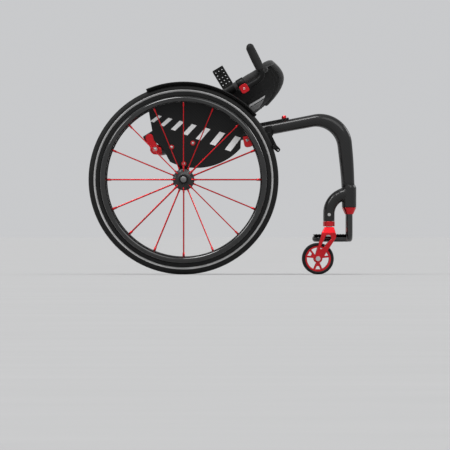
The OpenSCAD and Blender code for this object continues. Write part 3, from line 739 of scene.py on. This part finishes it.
def guard_bars(label, side):
    """Seven slanted bars that grow towards the front, on the outer face of the guard."""
    rear, front = Vector((-0.214, 0, 0.486)), Vector((0.040, 0, 0.404))
    count, face_y, thick, lean = 7, 204.5 * MM, 0.4 * MM, 9 * MM
    run = front - rear
    along = run.normalized()
    down = Vector((run.z, 0, -run.x)).normalized()
    parts = []
    for k in range(count):
        t = k / (count - 1)
        tall, wide = (13 + 12 * t) * MM, (12 + 7 * t) * MM
        at = rear + run * (0.03 + 0.94 * (t * 0.75 + 0.25 * t * t))
        corners = [at - down * tall + along * (lean - wide / 2), at - down * tall + along * (lean + wide / 2),
                   at + down * tall - along * (lean - wide / 2), at + down * tall - along * (lean + wide / 2)]
        outline = [(c.x, c.z) for c in corners]
        parts.append(prism(outline, face_y, face_y + thick, lambda x, z, y: (x, y, z)))
    made = piece("guard_bars_" + label, *joined(parts), PRINT, "frame", "carbon", side)
    for polygon in made.data.polygons:
        polygon.use_smooth = False


# ---- Screws ----


def button_screw(base, axis, radius, height):
    """A domed screw head with a hexagonal socket."""
    steps = 24
    outer = [(0, radius), (0.35 * height, radius), (0.8 * height, 0.8 * radius), (height, 0.52 * radius)]
    points, faces = lathe(base, axis, outer, steps)
    faces = faces[:-1]
    axis, across, other = square_axes(axis)
    rim, mouth = len(points) - steps, len(points)
    floor = mouth + steps
    for depth in (height, 0.35 * height):
        for k in range(steps):
            a = TAU * k / steps
            corner = math.cos(math.pi / 6) / math.cos((a + math.pi / 6) % (math.pi / 3) - math.pi / 6)
            points.append(base + axis * depth + (across * math.cos(a) + other * math.sin(a))
                          * (0.42 * radius * corner))
    for k in range(steps):
        m = (k + 1) % steps
        faces += [(rim + k, rim + m, mouth + m, mouth + k), (mouth + k, mouth + m, floor + m, floor + k)]
    return points, faces + [tuple(floor + k for k in range(steps))]


def screws(label, side):
    """Screw heads in the guard bolts, the rail clamp, the hinge pin and the handle clamp."""
    out = Vector((0, 1, 0))
    bolt_y = 207.9 * MM
    bolts = [Vector((x, bolt_y, rail_z(x) + 1 * MM)) for x in (-158 * MM, -92 * MM)]
    bolts.append(Vector((-120 * MM, bolt_y, 344 * MM)))
    rail_clamp = Vector((77 * MM, 202 * MM, 417 * MM))
    pin_end = PIVOT + Vector((0, RAIL_Y + 20.9 * MM, 0))
    parts = [button_screw(b, out, 4.6 * MM, 2.4 * MM) for b in bolts]
    parts.append(button_screw(rail_clamp, out, 5 * MM, 2.8 * MM))
    parts.append(button_screw(pin_end, out, 5 * MM, 2.4 * MM))
    piece("frame_screws_" + label, *joined(parts), STEEL, "frame", "steel", side)
    clamp = on_back(CLAMP_U, RAIL_Y + 32.4 * MM, HANDLE_V)
    piece("handle_screw_" + label, *button_screw(clamp, out, 4.2 * MM, 4.4 * MM), STEEL, "backrest",
          "steel", side)


# ---- Soft goods ----

SLING_HALF = RAIL_Y - 15.6 * MM
SEAT_SAG = 28 * MM
SEAT_CLOTH = 5.4 * MM
BACK_START = 50 * MM
HEM_R = 8.5 * MM
# The hem over the top of a cane, in mm: along the cane, inward of its middle and off it.
HEM_CORNER = ((447, 9, 6.5), (441, 3.5, 9), (430, 0.5, 10.5), (414, 0, 5))


def ripple(point, scale, amount):
    """Gentle unevenness, the same on every run."""
    return amount * noise.noise(point * scale)


def seat_surface(x, s, lift):
    """A point of the seat cloth: s from -1 on the right rail to 1 on the left one."""
    sag = SEAT_SAG * (1 - min(abs(s) / 0.93, 1) ** 2.2)
    z = rail_z(x) + RAIL_R / math.cos(RAIL_SLOPE) + 0.4 * MM - sag + lift
    z += ripple(Vector((x, s * 0.2, 0)), 14, 1.6 * MM) * (1 - s * s)
    return Vector((x, s * (RAIL_Y + 4 * MM), z))


def seat_sling():
    rear, front, rows, cols = -192 * MM, 204 * MM, 56, 73
    grid = [(rear + (front - rear) * i / (rows - 1), 2 * j / (cols - 1) - 1)
            for i in range(rows) for j in range(cols)]
    top = [seat_surface(x, s, SEAT_CLOTH) for x, s in grid]
    low = [seat_surface(x, s, 0.8 * MM) for x, s in grid]
    cover = piece("seat_cloth", *closed_sheet(top, low, rows, cols, False), CLOTH, "frame",
                  "sling_cloth", 1, ["seat_sling"])
    piping = []
    for x in (rear + 1 * MM, front - 1 * MM):
        piping.append(swept([seat_surface(x, 2 * j / 60 - 1, 3 * MM) for j in range(61)], 3.2 * MM))
    bound = piece("seat_piping", *joined(piping), BINDING, "frame", "sling_cloth")
    thread_r, pitch = 0.45 * MM, 5.2 * MM
    stitches = []
    for s in (-0.86, -0.83, 0.83, 0.86):
        x = rear + 8 * MM
        while x < front - 10 * MM:
            route = [seat_surface(x + d * MM, s, SEAT_CLOTH + h * MM)
                     for d, h in ((0, 0.1), (1.2, 0.5), (2.4, 0.5), (3.6, 0.1))]
            stitches.append(swept(route, thread_r, 6))
            x += pitch
    for row in (rear + 9 * MM, front - 9 * MM):
        for j in range(70):
            s = -0.96 + 1.92 * j / 69
            route = [seat_surface(row, s + d * 0.004, SEAT_CLOTH + h * MM)
                     for d, h in ((0, 0.1), (1, 0.5), (3, 0.5), (4, 0.1))]
            stitches.append(swept(route, thread_r, 6))
    seams = piece("seat_stitching", *joined(stitches), THREAD, "frame", "sling_cloth")


def back_depth(t):
    """How far the sling hangs in front of the canes, deepest three quarters of the way up."""
    return (104 - 80 * ((t - 0.75) / 0.75) ** 2) * MM


def back_top(q):
    """Height of the hem along the canes: high beside them (q = 0), cut out between them (q = 1)."""
    return (448 + 30 * q - 107 * q ** 3.5) * MM


def back_surface(s, t, inset=0.0):
    """A point of the slack back sling: s across it, t from its lower edge to its hem."""
    q = 1 - abs(s) ** 4
    u = BACK_START + t * (back_top(q) - BACK_START)
    depth = (back_depth(t) - inset) * q
    fold = ripple(Vector((u, s * 0.3, 1.7)), 11, 3.0 * MM) * q * (1 - t ** 6)
    from_cane = 1 - abs(s)
    pulled = 50 * from_cane * math.exp(-20 * from_cane)
    fold += ripple(Vector((u, s * 0.04, 4.1)), 55, 1.6 * MM) * pulled
    return on_back(u, (SLING_HALF + 1.6 * MM - inset) * s, CANE_V - depth + fold)


def back_sling():
    rows, cols = 64, 97
    even = [2 * j / (cols - 1) - 1 for j in range(cols)]
    cross = [math.copysign(1 - (1 - abs(k)) ** 1.5, k) for k in even]
    grid = [(s, i / (rows - 1)) for i in range(rows) for s in cross]
    outer = [back_surface(s, t) for s, t in grid]
    inner = [back_surface(s, t, 4.5 * MM) for s, t in grid]
    cover = piece("back_cloth", *closed_sheet(outer, inner, rows, cols, True), CLOTH, "backrest",
                  "sling_cloth", 1, ["back_sling"])
    hem_line = [back_surface(s, 1.0, 2 * MM) + OFF_CANE * (5 * MM * s ** 8) for s in cross]
    # The left corner goes in ahead of the line's last four points, so the hem doubles back there.
    for end, outward in ((0, -1), (len(hem_line), 1)):
        corner = [on_back(u * MM, outward * (RAIL_Y - inward * MM), CANE_V + v * MM)
                  for u, inward, v in HEM_CORNER]
        hem_line[end:end] = corner if outward > 0 else corner[::-1]
    # The hem's lighter cloth is painted light.
    hem = piece("back_hem", *swept(hem_line, HEM_R, 20), LIT_HEM_CLOTH, "backrest", "sling_cloth")
    low_line = [back_surface(s, 0.0, 2 * MM) for s in cross]
    binding = piece("back_binding", *swept(low_line, 3.4 * MM, 12), BINDING, "backrest", "sling_cloth")
    stitches = []
    loop = ((0.1, 0.0), (0.3, 0.5), (0.55, 0.5), (0.75, 0.0))
    for t in (0.93, 0.955):
        for s, after in zip(cross[3:-3], cross[4:-2]):
            route = [back_surface(s + (after - s) * d, t, -h * MM) for d, h in loop]
            stitches.append(swept(route, 0.5 * MM, 6))
    seams = piece("back_stitching", *joined(stitches), THREAD, "backrest", "sling_cloth")
    patches = woven_patches()
    for soft in (cover, hem, binding, seams, *patches):
        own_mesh(soft)


def woven_patches():
    """A plain woven patch low on each side of the sling: dark base, grey field and a pale line."""
    made = []
    rows, cols = 22, 16
    layers = (("base", 0.52, 0.815, 0.685, 0.862, 0.9, BINDING),
              ("field", 0.55, 0.69, 0.70, 0.848, 1.3, PATCH),
              ("line", 0.71, 0.745, 0.70, 0.848, 1.5, PATCH_EDGE))
    for label, side in SIDES:
        for name, s0, s1, t0, t1, lift, material in layers:
            grid = [(s0 + (s1 - s0) * j / (cols - 1), t0 + (t1 - t0) * i / (rows - 1))
                    for i in range(rows) for j in range(cols)]
            low = [back_surface(s, t) for s, t in grid]
            high = [back_surface(s, t, -lift * MM) for s, t in grid]
            made.append(piece(f"patch_{name}_{label}", *closed_sheet(low, high, rows, cols, False),
                              material, "backrest", "sling_cloth", side))
    return made


def cane_sleeves(label, side):
    """Fabric sleeve of the back sling, drawn over the cane, in a lighter grey that is painted light."""
    profile = []
    start, end = 40 * MM, 426 * MM
    count = 96
    for k in range(count + 1):
        h = start + (end - start) * k / count
        pucker = 0.25 * MM * math.sin(h * 620) + 0.3 * MM * math.sin(h * 143)
        past_cane = max(0.0, h - 398 * MM) / (28 * MM)
        profile.append((h, (12.6 - 1.6 * past_cane) * MM + pucker))
    profile = [(start, 11.1 * MM)] + profile + [(end + 3 * MM, 8.6 * MM), (end + 4.5 * MM, 4 * MM)]
    base = on_back(0, RAIL_Y, CANE_V)
    piece("cane_sleeve_" + label, *lathe(base, ALONG_CANE, profile, 40), LIT_SLEEVE_CLOTH, "backrest",
          "sling_cloth", side)


# ---- Clamps and lugs of the backrest ----


def arc(centre_a, centre_b, r, start, end, steps):
    """Points along a round corner, from one angle in degrees to another."""
    return [(centre_a + r * math.cos(math.radians(start + (end - start) * k / steps)),
             centre_b + r * math.sin(math.radians(start + (end - start) * k / steps)))
            for k in range(steps + 1)]


def rounded_box(a0, a1, b0, b1, r):
    return (arc(a1 - r, b0 + r, r, -90, 0, 6) + arc(a1 - r, b1 - r, r, 0, 90, 6)
            + arc(a0 + r, b1 - r, r, 90, 180, 6) + arc(a0 + r, b0 + r, r, 180, 270, 6))


def soften(made, width):
    """Rounds the sharp edges of a plate or block."""
    bevel = made.modifiers.new("soft_edges", "BEVEL")
    bevel.width, bevel.segments, bevel.angle_limit = width, 3, math.radians(40)
    bevel.use_clamp_overlap = True
    bevel.harden_normals = True
    apply_modifiers(made)


def handle_clamp(label, side):
    """Red block round the handle tube, held to a black ring on the cane."""
    half = 13.6 * MM
    y0, y1 = RAIL_Y + 10 * MM, RAIL_Y + 36 * MM
    box = rounded_box(CLAMP_U - half, CLAMP_U + half, HANDLE_V - half, HANDLE_V + half, 7 * MM)
    block = piece("handle_clamp_" + label, *prism(box, y0, y1, lambda a, b, h: on_back(a, h, b)), RED,
                  "backrest", "red_anodised", side, ["handle_clamps"] if side > 0 else ())
    soften(block, 1.6 * MM)
    base = on_back(CLAMP_U - 12 * MM, RAIL_Y, CANE_V)
    profile = [(0, 12.9 * MM), (0, 14.2 * MM), (0.8 * MM, 15 * MM), (23.2 * MM, 15 * MM),
               (24 * MM, 14.2 * MM), (24 * MM, 12.9 * MM)]
    piece("cane_ring_" + label, *lathe(base, ALONG_CANE, profile, 48), BLACK, "backrest",
          "black_metal", side)


def hinge_lug(label, side):
    """Red plate that turns on the pin, with a black socket for the foot of the cane."""
    y0, y1 = RAIL_Y + 7.4 * MM, RAIL_Y + 17.5 * MM
    foot = Vector((4 * MM, CANE_V))
    lean = math.degrees(math.atan2(foot.y, foot.x))
    outline = (arc(0, 0, 11 * MM, lean + 92, lean + 268, 18)
               + arc(foot.x, foot.y, 13 * MM, lean - 88, lean + 88, 18))
    plate = piece("hinge_plate_" + label, *prism(outline, y0, y1, lambda a, b, h: on_back(a, h, b)),
                  RED, "backrest", "red_anodised", side, ["hinge_lugs"] if side > 0 else ())
    soften(plate, 1.5 * MM)
    base = on_back(-13 * MM, RAIL_Y, CANE_V)
    profile = [(0, 6 * MM), (0.6 * MM, 12.6 * MM), (2.5 * MM, 14.6 * MM), (39 * MM, 15 * MM),
               (41.6 * MM, 14.0 * MM), (42 * MM, 12.9 * MM)]
    piece("cane_socket_" + label, *lathe(base, ALONG_CANE, profile, 48), BLACK, "backrest",
          "black_metal", side)


# ---- Grips ----


def grip(label, side):
    """Plain hand grip on the bent end of the handle tube, slightly barrelled, with a round end."""
    bend_at, bend_r, angle = 385 * MM, 25 * MM, math.radians(85)
    base = on_back(bend_at + bend_r * math.sin(angle), RAIL_Y + 23 * MM,
                   HANDLE_V + bend_r * (1 - math.cos(angle)))
    axis = ALONG_CANE * math.cos(angle) + OFF_CANE * math.sin(angle)
    length = 78 * MM
    profile = [(0, 9.7 * MM), (0.5 * MM, 11.0 * MM), (2 * MM, 11.9 * MM)]
    for k in range(1, 25):
        t = k / 24
        profile.append((2 * MM + (length - 2 * MM) * t, (11.9 + 0.9 * math.sin(math.pi * t)) * MM))
    for k in range(1, 13):
        a = math.pi / 2 * k / 12
        profile.append((length + 11.8 * MM * math.sin(a), max(11.9 * math.cos(a), 0.6) * MM))
    piece("hand_grip_" + label, *lathe(base, axis, profile, 48), GRIP, "backrest", "grip_rubber", side,
          ["grips"] if side > 0 else ())


# ---- Footplate mat ----


def foot_mat():
    """Ribbed rubber mat on the footplate."""
    low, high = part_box("footplate")
    margin, ribs, rib_r, sunk = 10 * MM, 13, 1.6 * MM, 0.2 * MM
    parts = []
    for k in range(ribs):
        x = low.x + margin + (high.x - low.x - 2 * margin) * k / (ribs - 1)
        route = [Vector((x, y, high.z - sunk)) for y in (low.y + margin, 0, high.y - margin)]
        parts.append(swept(route, rib_r, 10))
    piece("footplate_ribs", *joined(parts), GRIP, "frame", "grip_rubber")


# ---- Studio ----


def studio():
    """A pale floor that runs out of sight, an even pale surround, and soft light from four sides."""
    reach = 300.0
    floor = bpy.data.meshes.new("studio_floor")
    floor.from_pydata([(-reach, -reach, 0), (reach, -reach, 0), (reach, reach, 0), (-reach, reach, 0)],
                      [], [(0, 1, 2, 3)])
    floor.materials.append(floor_paint())
    ground = bpy.data.objects.new("studio_floor", floor)
    bpy.context.scene.collection.objects.link(ground)

    scene = bpy.context.scene
    scene.view_settings.view_transform = "Standard"
    scene.world = bpy.data.worlds.new("studio")
    scene.world.use_nodes = True
    sky = scene.world.node_tree.nodes["Background"]
    sky.inputs["Color"].default_value = (0.97, 0.98, 1.0, 1)
    sky.inputs["Strength"].default_value = 0.60

    for name, place, spread, power in (
        ("top", (-0.25, -0.5, 1.0), 24, 1.5),
        ("left", (-1.2, -0.6, 0.9), 22, 0.8),
        ("right", (1.3, 0.5, 0.7), 22, 0.7),
        ("front", (0.45, -1.0, 0.75), 34, 0.55),
    ):
        light = bpy.data.lights.new(name, "SUN")
        light.angle, light.energy = math.radians(spread), power
        lamp = bpy.data.objects.new(name, light)
        lamp.rotation_euler = (-Vector(place)).to_track_quat("-Z", "Y").to_euler()
        scene.collection.objects.link(lamp)


def camera():
    """Level telephoto view of the right-hand side, 1.397 m wide at the near wheel."""
    view_width, view_centre = 1.397, Vector((0.0078, -WHEEL.y, 0.1537))
    data = bpy.data.cameras.new("camera")
    data.sensor_width, data.lens = 36.0, 1500.0
    distance = view_width * data.lens / data.sensor_width
    data.clip_end = 4 * distance
    eye = bpy.data.objects.new("camera", data)
    eye.location = view_centre - Vector((0, distance, 0))
    eye.rotation_euler = (math.pi / 2, 0, 0)
    bpy.context.scene.collection.objects.link(eye)
    bpy.context.scene.camera = eye


camera()
studio()
paint_nodes()
for label, side in SIDES:
    rear_wheel(label, side)
    caster(label, side)
    side_frame(label, side)
    axle_cap(label, side)
    guard_bars(label, side)
    screws(label, side)
    cane_sleeves(label, side)
    handle_clamp(label, side)
    hinge_lug(label, side)
    grip(label, side)
seat_sling()
back_sling()
foot_mat()
